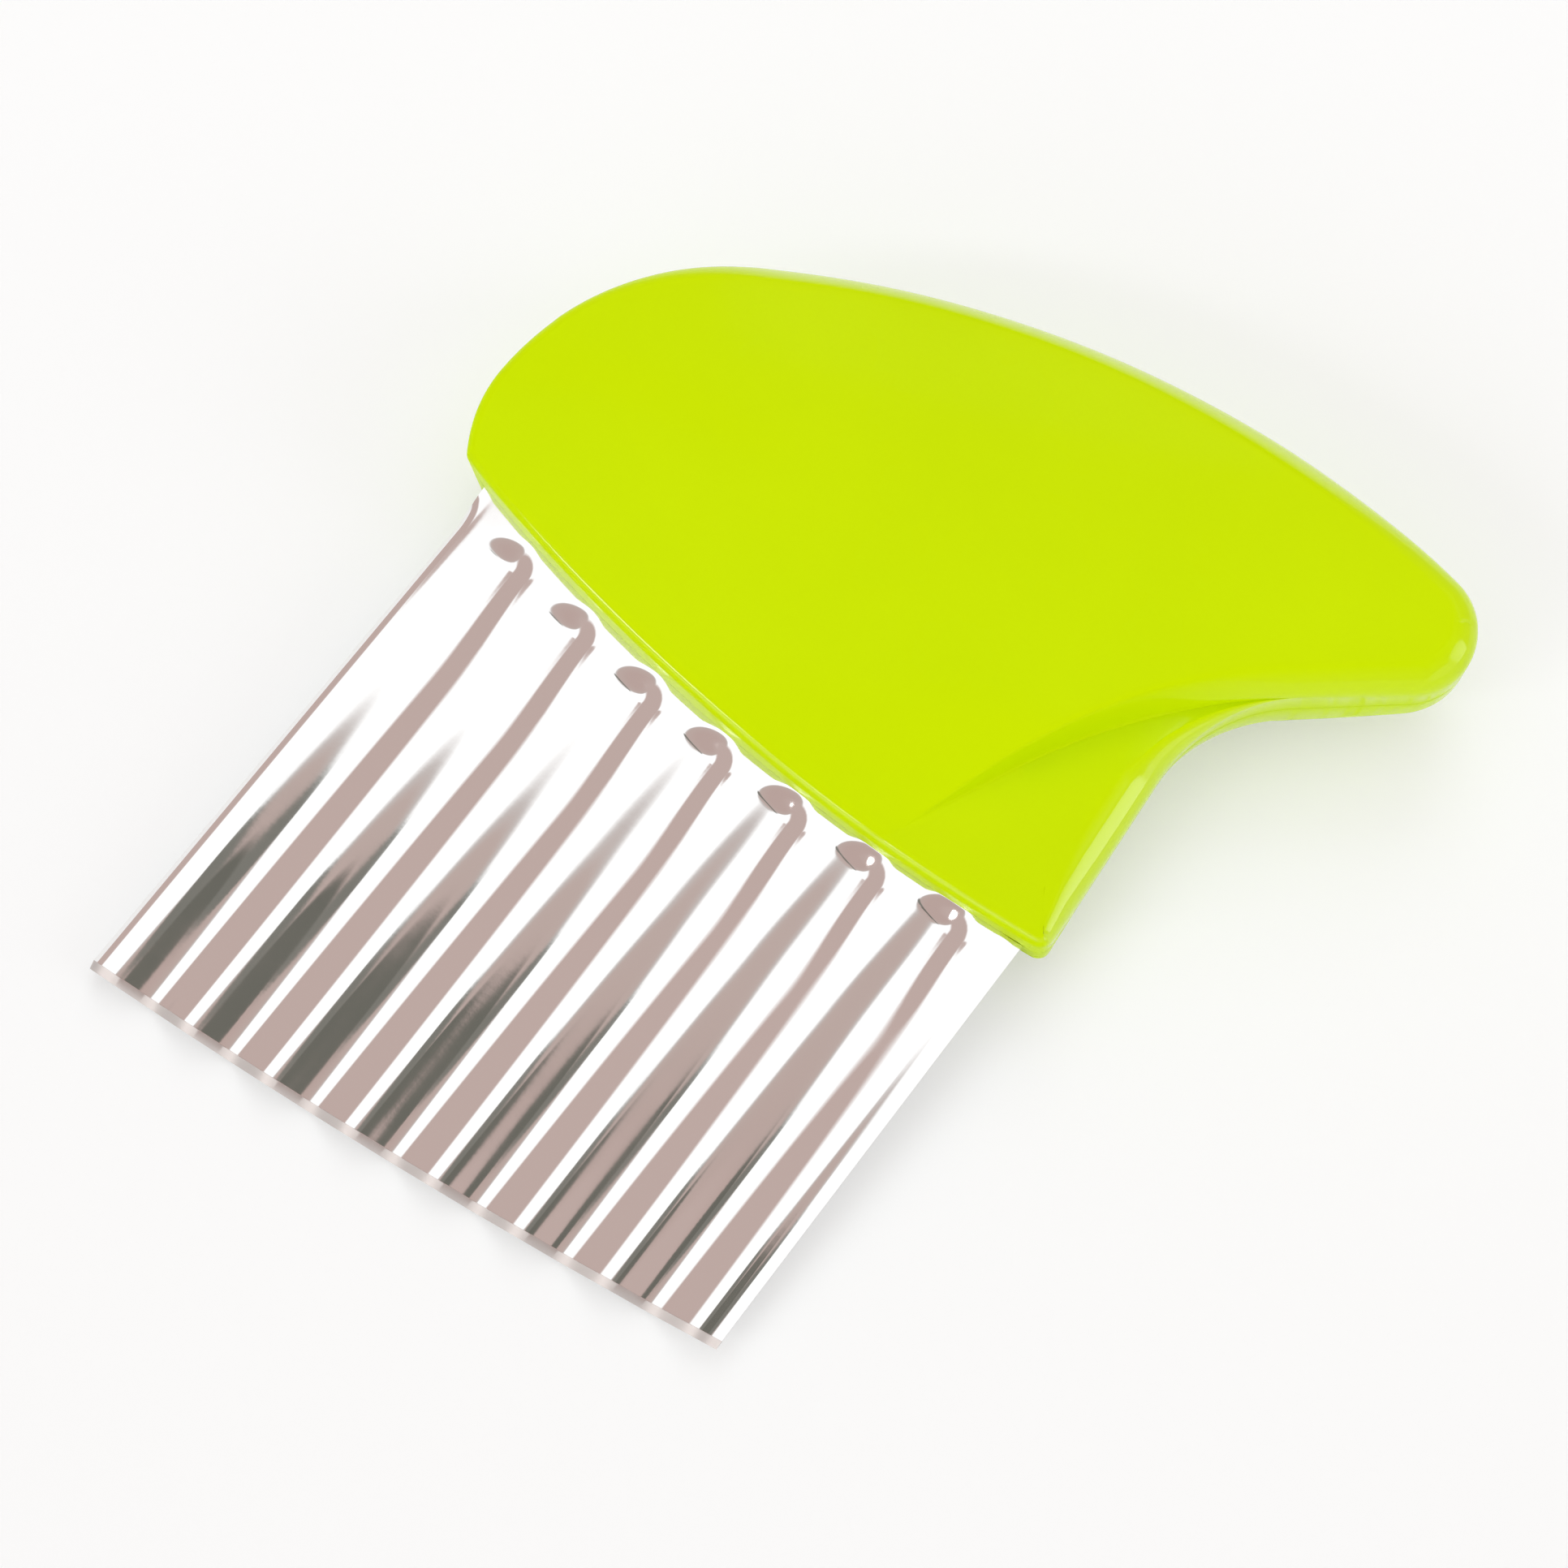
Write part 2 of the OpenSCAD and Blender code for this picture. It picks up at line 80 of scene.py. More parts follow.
def rightOf(a):
    return np.array([math.sin(math.radians(a)), -math.cos(math.radians(a))])


def angleTo(v):
    return math.degrees(math.atan2(v[1], v[0])) % 360


def leg(longest, other):  # third side of a triangle with a right angle
    return np.sqrt(longest ** 2 - other ** 2)


def cross2(a, b):
    return a[0] * b[1] - a[1] * b[0]


def meet(p, d, q, e):  # where the line from p along d crosses the line from q along e
    return p + d * (cross2(q - p, e) / cross2(d, e))


# Centre of a small circle that touches two others from inside, left of the way from the first to the second
def insideBoth(p, pr, q, qr, r):
    far = math.hypot(*(q - p))
    way = (q - p) / far
    along = ((pr - r) ** 2 - (qr - r) ** 2 + far * far) / (2 * far)
    return p + along * way + leg(pr - r, along) * np.array([-way[1], way[0]])


meshing = {"gridSize": 0.1, "sharpFrom": 32}


# A grid is laid over rows of points, one row for each station, and its doubled points are merged
def wrapGrid(name, rows, edge):
    count, length = rows.shape[:2]
    bpy.ops.object.select_all(action="DESELECT")
    bpy.ops.mesh.primitive_grid_add(x_subdivisions=length - 1, y_subdivisions=count - 1,
                                    size=meshing["gridSize"])
    piece = bpy.context.object
    piece.name = piece.data.name = name
    piece.data.vertices.foreach_set("co", layDown(rows.reshape(-1, 3)).astype(np.float32).ravel())
    mask = piece.data.attributes.new("edge", "FLOAT", "POINT")
    mask.data.foreach_set("value", edge.astype(np.float32).ravel())
    bpy.ops.object.mode_set(mode="EDIT")
    bpy.ops.mesh.select_all(action="SELECT")
    bpy.ops.mesh.remove_doubles(threshold=tiny)
    bpy.ops.mesh.select_all(action="SELECT")
    bpy.ops.mesh.normals_make_consistent(inside=False)
    bpy.ops.object.mode_set(mode="OBJECT")
    bpy.ops.object.shade_smooth_by_angle(angle=math.radians(meshing["sharpFrom"]))
    return piece


# Handle

handle = {
    # outline in plan
    "lipLow": 56.6, "lipR": 210, "lipX": 52,
    "heelReach": 5, "heelR": 30, "heelSideR": 17, "heelLowR": 1.2,
    "backH": 57.6, "backR": 112, "backX": 66,
    "tailReach": 18.5, "tailR": 6.9, "underSlope": 39,
    "creaseSlope": 66, "creaseX": 56, "creaseR": 60,
    "finReach": 2.4, "finLean": 4, "notchR": 17, "finCornerR": 1.5,
    # crown of the face, and heights along its edge with the shares of the way where they hold
    "crownAt": (45, 85), "crownR": 80, "crownH": 9.3, "crownSpan": 50, "crownOrder": 14,
    "finH": 3.2, "lipH": 4.6, "backEdgeH": 6.2, "heelEdgeH": 5.4, "tailEdgeH": 5, "notchEdgeH": 5.6,
    "backShare": (0.35, 0.7), "bodyShare": 0.55,
    # rounded edges
    "roundW": 3, "heelRound": 1.2, "heelShare": 0.3, "heelFade": 1, "lipRound": 0.8, "lipRise": 1.3,
    "creaseStart": 0.3, "creaseShare": 0.3, "creaseRound": 1.2, "creaseLift": -0.4, "creaseBow": 1.5,
    "sideRound": 3.2, "sideRamp": 12, "underRound": 2.4, "turnFrom": 0.6,
    "finShare": 0.9, "finLeast": 0.02, "finFirst": 4, "wallLeast": 0.3, "stepLeast": 0.01,
    "roundTurn": 72, "facetTurn": 90, "roundFrom": 1.99,
    "facetRise": 0.25, "facetFlat": 0.8, "facetSpread": 1.6,
    # base, which closes on the other shell at the seam and on the blade at its seat
    "seam": 0.03, "seat": 0.43, "seatFade": 0.3, "rim": 1.2, "pocket": 0.02,
    # gloss along the edges
    "glossFrom": 0.65, "heelGloss": 0.15, "backGloss": 0.6, "underGloss": 0.5, "finGlossRun": 8,
    "lineBand": (0.55, 0.8, 0.95), "lineX": (4, 16),
    # mesh
    "heelStations": 110, "finStations": 84, "tailStations": 44, "backMarks": (47, 77.5),
    "rollSteps": 10, "crownRows": 40, "finRows": 8, "baseRows": 6, "pacePerDegree": 0.12,
    "lineSteps": 12, "sideSteps": 30, "cornerSteps": 40, "arcSteps": 60, "backSteps": 120, "lipSteps": 200,
}
lipC = np.array([handle["lipX"], handle["lipLow"] + handle["lipR"]])


def lipY(x):
    return lipC[1] - leg(handle["lipR"], x - handle["lipX"])


# A run is a list of points with outward normals
def arcRun(centre, radius, start, end, steps, side=1):
    a = np.radians(np.linspace(start, end, steps + 1))
    out = np.stack([np.cos(a), np.sin(a)], 1)
    return np.hstack([centre + radius * out, side * out])


def lineRun(p, q, normal):
    share = np.linspace(0, 1, handle["lineSteps"] + 1)[:, None]
    return np.hstack([blend(p, q, share), np.repeat([normal], len(share), 0)])


# The pace of a joined run counts its length and its bending
def joinRuns(*runs):
    run = np.vstack(runs)
    step = np.linalg.norm(np.diff(run[:, :2], axis=0), axis=1)
    bend = np.degrees(np.abs(np.diff(np.unwrap(np.arctan2(run[:, 3], run[:, 2])))))
    keep = np.concatenate([[True], step > tiny])
    pace = np.concatenate([[0], np.cumsum(step + handle["pacePerDegree"] * bend)])
    return run[keep], pace[keep]


def sample(run, pace, at):
    got = np.stack([np.interp(at, pace, run[:, k]) for k in range(4)], 1)
    got[:, 2:] /= np.linalg.norm(got[:, 2:], axis=1)[:, None]
    return got


def paceAtX(run, pace, x, last):
    inside = pace <= last
    return float(np.interp(x, run[inside, 0], pace[inside]))


# Centre of the fin's corner, beside the fin's side and inside the lip's circle
def finCorner(finP, side):
    r = handle["finCornerR"]
    start = finP - r * rightOf(side)
    reach = (start - lipC) @ heading(side + 180)
    off = (start - lipC) @ (start - lipC) - (handle["lipR"] - r) ** 2
    return start + heading(side + 180) * (math.sqrt(reach * reach - off) - reach)


# The upper run goes from the heel over the back to the tail's tip, the lower one along lip, fin and notch
def handlePlan():
    h = handle
    backC = np.array([h["backX"], h["lipLow"] + h["backH"] - h["backR"]])
    heelX = h["heelR"] - h["heelReach"]
    heelC = np.array([heelX, backC[1] + leg(h["backR"] - h["heelR"], heelX - h["backX"])])
    sideC = np.array([h["heelSideR"] - h["heelReach"], heelC[1]])
    lowC = insideBoth(sideC, h["heelSideR"], lipC, h["lipR"], h["heelLowR"])
    tailX = blade["width"] + h["tailReach"] - h["tailR"]
    tailC = np.array([tailX, backC[1] + leg(h["backR"] - h["tailR"], tailX - h["backX"])])
    under, slope, side = h["underSlope"], h["creaseSlope"], 90 + h["finLean"]
    underP = tailC + h["tailR"] * rightOf(under)
    finX = blade["width"] + h["finReach"]
    finP = np.array([finX, lipY(finX)])
    cornerC = finCorner(finP, side)
    finFoot = cornerC + h["finCornerR"] * rightOf(side)
    notchC = meet(finP + h["notchR"] * rightOf(side), heading(side),
                  underP + h["notchR"] * rightOf(under), heading(under))
    notchStart = notchC + h["notchR"] * heading(side + 90)
    notchEnd = notchC + h["notchR"] * heading(under + 90)

    backFrom, backTo = angleTo(heelC - backC), angleTo(tailC - backC)
    lipFrom, lipTo = angleTo(lowC - lipC), angleTo(cornerC - lipC)
    heelTo = angleTo(lowC - sideC)
    upper = joinRuns(arcRun(heelC, h["heelR"], 180, backFrom, h["arcSteps"]),
                     arcRun(backC, h["backR"], backFrom, backTo, h["backSteps"]),
                     arcRun(tailC, h["tailR"], backTo, 0, h["arcSteps"]))
    lower = joinRuns(arcRun(sideC, h["heelSideR"], 180, heelTo, h["sideSteps"]),
                     arcRun(lowC, h["heelLowR"], heelTo, lipFrom, h["cornerSteps"]),
                     arcRun(lipC, h["lipR"], lipFrom, lipTo, h["lipSteps"]),
                     arcRun(cornerC, h["finCornerR"], lipTo, side + 270, h["cornerSteps"]),
                     lineRun(finFoot, notchStart, rightOf(side)),
                     arcRun(notchC, h["notchR"], side + 90, under + 90, h["arcSteps"], -1),
                     lineRun(notchEnd, underP, rightOf(under)),
                     arcRun(tailC, h["tailR"], under - 90, 0, h["arcSteps"]))

    # The crease starts where the lip's rounding ends and runs to the top of the notch
    creaseP = np.array([h["creaseX"], lipY(h["creaseX"])])
    creaseC = meet(creaseP + h["creaseR"] * rightOf(slope), heading(slope),
                   underP + h["creaseR"] * rightOf(under), heading(under))
    startX = h["creaseX"] + h["lipRound"] / math.tan(math.radians(slope))
    onLip = np.array([startX, lipY(startX)])
    start = onLip - h["lipRound"] * (onLip - lipC) / h["lipR"]
    bendFrom = creaseC + h["creaseR"] * heading(slope + 90)
    bendTo = creaseC + h["creaseR"] * heading(under + 90)
    crease = joinRuns(lineRun(start, bendFrom, rightOf(slope)),
                      arcRun(creaseC, h["creaseR"], slope + 90, under + 90, h["arcSteps"], -1),
                      lineRun(bendTo, notchEnd, rightOf(under)))
    return SimpleNamespace(upper=upper, lower=lower, crease=crease, finFoot=finFoot, notchEnd=notchEnd,
                           heelLowX=lowC[0], creaseStartX=startX)


# A smooth count that reaches the given marks at the given splits
def easeThrough(splits, marks):
    slopes = np.gradient(np.array(marks), np.array(splits))
    at = np.zeros(splits[-1] + 1)
    for k, (a, b) in enumerate(zip(splits, splits[1:])):
        t = np.arange(b - a + 1) / (b - a)
        at[a:b + 1] = (marks[k] * (1 + 2 * t) * (1 - t) ** 2 + marks[k + 1] * t * t * (3 - 2 * t)
                       + (b - a) * (slopes[k] * t * (1 - t) ** 2 - slopes[k + 1] * t * t * (1 - t)))
    return at


# Stations pair the upper run with the lower one: first along the lip, then the fin, then the tail
def handleStations(plan):
    h = handle
    (upRun, upPace), (lowRun, lowPace) = plan.upper, plan.lower
    lipEnd = h["heelStations"]
    finEnd = lipEnd + h["finStations"]
    last = finEnd + h["tailStations"]

    def paceNear(p):
        return lowPace[np.argmin(np.linalg.norm(lowRun[:, :2] - p, axis=1))]

    cornerPace, notchPace = paceNear(plan.finFoot), paceNear(plan.notchEnd)
    rampPace = cornerPace - h["sideRamp"] / 2
    startPace = paceAtX(lowRun, lowPace, plan.creaseStartX, rampPace)
    lowAt = np.concatenate([np.linspace(0, startPace, h["heelStations"] + 1),
                            np.linspace(startPace, notchPace, h["finStations"] + 1)[1:],
                            np.linspace(notchPace, lowPace[-1], h["tailStations"] + 1)[1:]])
    backMarks = [paceAtX(upRun, upPace, x, upPace[-1]) for x in h["backMarks"]]
    upAt = easeThrough([0, lipEnd, finEnd, last], [0, *backMarks, upPace[-1]])
    up, low = sample(upRun, upPace, upAt), sample(lowRun, lowPace, lowAt)
    for end in (0, -1):  # both runs share their end points
        up[end] = low[end] = (up[end] + low[end]) / 2

    order = np.arange(last + 1)
    alongFin = np.clip((order - lipEnd) / h["finStations"], 0, 1)
    toTip = np.clip((order - finEnd) / h["tailStations"], 0, 1)
    isFin = (order > lipEnd) & (order < finEnd)
    crease = sample(*plan.crease, alongFin * plan.crease[1][-1])
    return SimpleNamespace(
        up=up, low=low, crease=crease, foot=np.where(isFin[:, None], crease, low), x=low[:, 0],
        alongBack=upAt / upPace[-1], alongFin=alongFin, toTip=toTip, lowAt=lowAt,
        isLip=order <= lipEnd, isFin=isFin, isTail=order >= finEnd,
        finBegins=order < lipEnd + h["finFirst"],
        rampPace=rampPace, cornerPace=cornerPace, notchPace=notchPace,
        turnOver=smoothStep((alongFin - h["turnFrom"]) / (1 - h["turnFrom"])),
        middleZ=blend(h["finH"], h["seam"], toTip))


# Widths of the rounded edges, and the face's edge lines inside them
def layRoundings(plan, st):
    h = handle
    heelEnd = plan.heelLowX + h["heelFade"]
    st.upW = glide(st.alongBack, [(0, h["heelRound"]), (h["heelShare"], h["roundW"]), (1, h["roundW"])])
    st.lipW = glide(st.x, [(-h["heelReach"], h["heelRound"]), (heelEnd, h["lipRound"])])
    st.lipTall = glide(st.x, [(-h["heelReach"], 1), (heelEnd, h["lipRise"])])
    st.tailW = glide(st.toTip, [(0, h["underRound"]), (1, h["roundW"])])
    creaseW = glide(st.alongFin, [(0, h["creaseStart"]), (h["creaseShare"], h["creaseRound"]),
                                  (1, h["underRound"])])
    st.bodyW = np.where(st.isLip, st.lipW, np.where(st.isTail, st.tailW, creaseW))
    st.upFace = st.up[:, :2] - st.upW[:, None] * st.up[:, 2:]
    st.lowFace = st.foot[:, :2] - st.bodyW[:, None] * st.foot[:, 2:]


# Heights that the face should have along its upper and lower edge lines
def edgeGoals(plan, st):
    h = handle
    backFrom, backTo = h["backShare"]
    upGoal = glide(st.alongBack, [(0, h["heelEdgeH"]), (backFrom, h["backEdgeH"]),
                                  (backTo, h["backEdgeH"]), (1, h["tailEdgeH"])])
    lipGoal = glide(st.x, [(-h["heelReach"], h["heelEdgeH"]), (plan.heelLowX, h["lipH"]),
                           (h["lipX"] / 2, h["lipH"]), (plan.creaseStartX, h["finH"])])
    finGoal = glide(st.alongFin, [(0, h["finH"]), (h["bodyShare"], h["backEdgeH"]), (1, h["notchEdgeH"])])
    tailGoal = glide(st.toTip, [(0, h["notchEdgeH"]), (h["bodyShare"], h["tailEdgeH"]), (1, h["tailEdgeH"])])
    return upGoal, np.where(st.isLip, lipGoal, np.where(st.isTail, tailGoal, finGoal))


# The face is one even crown over its edge lines: a bowl plus the smoothest fit to the edge heights
def fitCrown(edgeLine, edgeGoal):
    h = handle

    def fromCentre(p):
        return (p[..., 0] - h["crownAt"][0]) + 1j * (p[..., 1] - h["crownAt"][1])

    def bowl(p):
        c = fromCentre(p)
        return -(c.real ** 2 + c.imag ** 2) / (4 * h["crownR"])

    def terms(p):
        c = fromCentre(p) / h["crownSpan"]
        powers = [c ** k for k in range(1, h["crownOrder"] + 1)]
        return np.stack([np.ones(c.shape)] + [q.real for q in powers] + [q.imag for q in powers], -1)

    shares = np.linalg.lstsq(terms(edgeLine), edgeGoal - bowl(edgeLine), rcond=None)[0]

    def faceZ(p):
        return bowl(p) + terms(p) @ shares
    return faceZ


def rollShares():
    return np.linspace(0, 1, handle["rollSteps"] + 1)[None, :]


# One rounded edge from its wall's top to the face: insets and heights; a lower power is a flatter facet
def rollUp(width, height, power=2.0):
    h = handle
    power = np.broadcast_to(power, width.shape)[:, None]
    end = np.radians(np.where(power < h["roundFrom"], h["facetTurn"], h["roundTurn"]))
    k, t = 2 / power, rollShares()
    inset = (1 - np.cos(end * t) ** k) / (1 - np.cos(end) ** k)
    rise = np.sin(end * t) ** k / np.sin(end) ** k
    return width[:, None] * inset, height[:, None] * rise


def stack(place, inset, z):
    p = place[:, None, :2] - inset[:, :, None] * place[:, None, 2:]
    return np.dstack([p, z])


# Upper edge: a round at heel and tail, a flat crescent facet along the back
def backEdge(st, faceZ):
    h = handle
    bulge = np.sin(np.pi * st.alongBack) ** 2
    height = st.upW * (1 + h["facetRise"] * bulge)
    inset, rise = rollUp(st.upW, height, 2 - h["facetFlat"] * smoothStep(bulge * h["facetSpread"]))
    return stack(st.up, inset, (faceZ(st.upFace) - height)[:, None] + rise)


# Lower edge: lip and fin stand on the blade's seat or on the seam, and the tail has one plain line
def lipEdge(st, lowH):
    h = handle
    fade = h["seatFade"]
    onBlade = smoothStep((st.x + fade) / fade) * smoothStep((blade["width"] + fade - st.x) / fade)
    st.baseZ = blend(h["seam"], h["seat"], onBlade * (st.lowAt < st.cornerPace))
    gap = np.einsum("ij,ij->i", st.low[:, :2] - st.crease[:, :2], st.low[:, 2:])
    sideW = glide(st.lowAt, [(st.rampPace, h["lipRound"]), (st.cornerPace + h["sideRamp"], h["sideRound"])])
    finW = np.minimum(sideW, np.maximum(h["finShare"] * np.abs(gap), h["finLeast"]))
    finW = np.where(st.finBegins, h["lipRound"], finW)
    width = np.where(st.isFin, finW, st.lipW)
    top = np.where(st.isFin, h["finH"], lowH)
    height = np.minimum(width * st.lipTall, top - st.baseZ - h["wallLeast"])
    inset, rise = rollUp(width, height)
    edge = stack(st.low, inset, (top - height)[:, None] + rise)
    plainLine = np.column_stack([st.low[:, :2], st.middleZ])
    edge[st.isTail] = plainLine[st.isTail][:, None]
    return edge


# The crease is a soft step, which turns into the tail's rounded edge; along the lip it has no height
def creaseStep(st, lowH, lipTop):
    h = handle
    creaseZ = h["finH"] + h["creaseLift"] * np.sin(np.pi * st.alongFin) ** h["creaseBow"]
    footZ = np.where(st.isTail, st.middleZ, creaseZ)
    height = np.where(st.isTail, st.tailW, np.maximum(lowH - footZ, h["stepLeast"]))
    inset, rise = rollUp(st.bodyW, height)
    t, turn = rollShares(), st.turnOver[:, None]
    inset = blend(st.bodyW[:, None] * t, inset, turn)
    rise = blend(height[:, None] * smoothStep(t), rise, turn)
    step = stack(st.foot, inset, (lowH - height)[:, None] + rise)
    foot = np.column_stack([st.foot[:, :2], footZ])
    step[st.isLip] = lipTop[st.isLip][:, None]
    foot[st.isLip] = lipTop[st.isLip]
    return step, foot


# The base goes in from the lower edge by the rim, across a shallow pocket, and out to the upper edge
def baseRows(st):
    h = handle
    lowIn = st.low[:, :2] - h["rim"] * st.low[:, 2:]
    upIn = st.up[:, :2] - h["rim"] * st.up[:, 2:]

    def lift(p, z):
        return np.column_stack([p[:, :2], np.broadcast_to(z, len(p))])[:, None]

    deep = h["seat"] + h["pocket"]
    lowDeep, upDeep = lift(lowIn, deep), lift(upIn, deep)
    return np.concatenate([lift(st.low, st.baseZ), lift(lowIn, st.baseZ), lowDeep,
                           between(lowDeep[:, 0], upDeep[:, 0], h["baseRows"]), upDeep,
                           lift(upIn, h["seam"]), lift(st.up, h["seam"])], 1)


# Gloss lies on the rounded edges and fades on to the face, and a thin line of it follows the lip
def glossRows(st, crownCount, finCount, baseCount):
    h = handle
    t = rollShares()
    fade = 1 - smoothStep((t - h["glossFrom"]) / (1 - h["glossFrom"]))
    back = glide(st.alongBack, [(0, h["heelGloss"]), (h["backShare"][0], h["backGloss"]),
                                (1, h["backGloss"])])[:, None] * fade
    under = h["underGloss"] * st.turnOver[:, None]
    side = glide(st.lowAt, [(st.cornerPace - h["finGlossRun"], 0), (st.cornerPace, 1),
                            (st.notchPace, 1), (st.lowAt[-1], h["backGloss"])])
    lineFrom, lineFull, lineEnd = h["lineBand"]
    alongLip = glide(st.x, [(h["lineX"][0], 0), (h["lineX"][1], 1)]) * (st.lowAt < st.cornerPace)
    line = smoothStep((t - lineFrom) / (lineFull - lineFrom)) * (t < lineEnd) * alongLip[:, None]
    lower = np.maximum(side[:, None] * fade[:, ::-1], line[:, ::-1])
    blank = np.zeros((len(st.x), 1))
    return np.concatenate([back[:, :1], back, np.repeat(blank, crownCount, 1), under * fade[:, ::-1], under,
                           np.repeat(under, finCount, 1), lower, np.repeat(blank, baseCount, 1)], 1)


# Rows across a shell: up the back's edge, over the crown, down the crease, over the fin, under the base
def handleRows():
    h = handle
    plan = handlePlan()
    st = handleStations(plan)
    layRoundings(plan, st)
    faceZ = fitCrown(np.vstack([st.upFace, st.lowFace]), np.concatenate(edgeGoals(plan, st)))
    lowH = faceZ(st.lowFace)
    upper, lower = backEdge(st, faceZ), lipEdge(st, lowH)
    step, foot = creaseStep(st, lowH, lower[:, -1])
    facePlan = between(st.upFace, st.lowFace, h["crownRows"])
    crown = np.dstack([facePlan, faceZ(facePlan)])
    finTop = between(foot, lower[:, -1], h["finRows"])
    base = baseRows(st)
    rows = np.concatenate([base[:, -1:], upper, crown, step[:, ::-1], foot[:, None], finTop,
                           lower[:, ::-1], base], 1)
    z = rows[:, :, 2]
    above = z > h["seat"] + h["pocket"] + h["stepLeast"]
    rows[:, :, 2] = np.where(above, z * h["crownH"] / z.max(), z)
    return rows, glossRows(st, crown.shape[1], finTop.shape[1], base.shape[1])


# Blade

blade = {
    "width": 73, "sheet": 0.8, "bevel": 0.9, "edgeLand": 0.15, "belly": 0.9,
    "pitch": 9.7, "flutes": 7, "depth": 2.05, "deepen": 1.5, "flat": 0.02,
    # flute ends along the lip, from the heel to the fin
    "endDepth": 0.95, "endDepthFin": 1.15, "endR": 3.2, "endLeft": 4.7, "endLeftFin": 4.2,
    "endFloor": 0.04, "floorLean": 0.6, "widen": 14, "gapHeel": 0.3, "gapFin": -0.6,
    # the sheet's two sides
    "heelRoll": 2.1, "heelStrip": 1.9, "heelRun": 5, "finSideDepth": 0.5, "finStrip": 0.9,
    # tang inside the handle
    "tangH": 23, "tangOver": 1, "shoulderH": 7.6, "tangInHeel": 5, "tangInFin": 16,
    # mesh
    "columnsPerFlute": 30, "longRows": 40, "closeRows": 44, "closeRun": 11, "closePower": 1.3,
    "bevelRow": 0.06,
}


def edgeY(x):
    share = x / blade["width"]
    return x * math.tan(math.radians(lying["slant"])) - 4 * blade["belly"] * share * (1 - share)


# The heel side of the sheet rolls down in a narrow strip, which fades out at the lip
def heelDrop(x, y):
    s = blade
    out = np.clip(s["heelStrip"] - x, 0, s["heelStrip"])
    return (s["heelRoll"] - leg(s["heelRoll"], out)) * smoothStep((lipY(0.0) - y) / s["heelRun"])


# Flutes are pressed down from the flat sheet: round ends along the lip, deepest at the cutting edge
def fluteZ(x, y):
    s = blade
    first = s["width"] / 2 - (s["flutes"] - 1) / 2 * s["pitch"]
    i = np.round((x - first) / s["pitch"])
    toFin = np.clip(i / (s["flutes"] - 1), 0, 1)
    pastHeel, pastFin = i < 0, i >= s["flutes"]
    fluteX = first + i * s["pitch"]
    top = lipY(fluteX) - np.where(pastHeel | pastFin, 0, blend(s["gapHeel"], s["gapFin"], toFin))
    fromEnd, aside = top - y, x - fluteX
    opened = smoothStep((fromEnd - s["endR"]) / s["widen"])  # 0 in the round end, 1 in the full flute
    endHalf = np.where(aside < 0, blend(s["endLeft"], s["endLeftFin"], toFin), s["endR"])
    half = blend(endHalf, s["pitch"] / 2, opened)
    rho = np.where(fromEnd > s["endR"], np.abs(aside) / half,
                   np.hypot(aside / endHalf, 1 - fromEnd / s["endR"]))  # 0 in the valley, 1 on the ridge
    ridge = first + (s["flutes"] - 0.5) * s["pitch"]
    strip = s["width"] - s["finStrip"]
    rho = np.clip(np.where(pastFin, (strip - x) / (strip - ridge), rho), 0, 1)
    floorShare = s["endFloor"] * smoothStep(0.5 + s["floorLean"] * aside / s["endR"]) * (1 - opened)
    floorShare = np.where(pastFin, 0, floorShare)
    rho = np.clip((rho - floorShare) / (1 - floorShare), 0, 1)
    run = np.clip(fromEnd / (top - edgeY(fluteX)), 0, 1)
    endDepth = blend(s["endDepth"], s["endDepthFin"], toFin)
    depth = blend(endDepth, s["depth"], run ** s["deepen"])
    depth = depth * np.where(pastFin, s["finSideDepth"] / s["depth"], 1)
    wave = (np.cos(np.pi * rho) + s["flat"] * np.cos(3 * np.pi * rho)) / (1 + s["flat"])
    return np.where(pastHeel, -heelDrop(x, y), -depth * (1 + wave) / 2)


# Rows run from the edge over the bevel and the flutes to the tang, and back underneath
def bladeRows():
    s = blade
    columns = round(s["width"] / s["pitch"] * s["columnsPerFlute"])
    x = np.linspace(0, s["width"], columns + 1)
    edge, ends = edgeY(x), lipY(x)
    ground = edge + s["bevel"]
    long = np.linspace(0, 1, s["longRows"] + 1)[:-1]
    close = (1 - np.linspace(0, 1, s["closeRows"] + 1)) ** s["closePower"]
    shoulder, tang = handle["lipLow"] + s["shoulderH"], handle["lipLow"] + s["tangH"]
    rise = np.minimum(1, np.minimum(x / s["tangInHeel"], (s["width"] - x) / s["tangInFin"]))
    low = np.maximum(shoulder, lipY(0.0))
    top = low + (tang - shoulder) * np.maximum(rise, 0) + s["tangOver"]
    longY = ground[:, None] + s["bevelRow"] + (ends - s["closeRun"] - ground)[:, None] * long[None, :]
    closeY = ends[:, None] - s["closeRun"] * close[None, :]
    y = np.concatenate([edge[:, None], ground[:, None], longY, closeY,
                        np.full((columns + 1, 1), low), top[:, None]], 1)
    xx = np.repeat(x[:, None], y.shape[1], 1)
    z = fluteZ(xx, y)
    upper, under = z + s["sheet"] / 2, z - s["sheet"] / 2
    upper[:, 0] = under[:, 0] + s["edgeLand"]
    front, back = np.dstack([xx, y, upper]), np.dstack([xx, y, under])
    loop = np.concatenate([front, back[:, ::-1], front[:, :1]], 1)
    mid = (front + back) / 2
    cap = np.concatenate([mid, mid[:, ::-1], mid[:, :1]], 1)
    rows = np.concatenate([cap[:1], loop, cap[-1:]], 0)
    groundMask = np.zeros(rows.shape[:2])
    groundMask[:, :2] = groundMask[:, -1] = 1
    return rows, groundMask


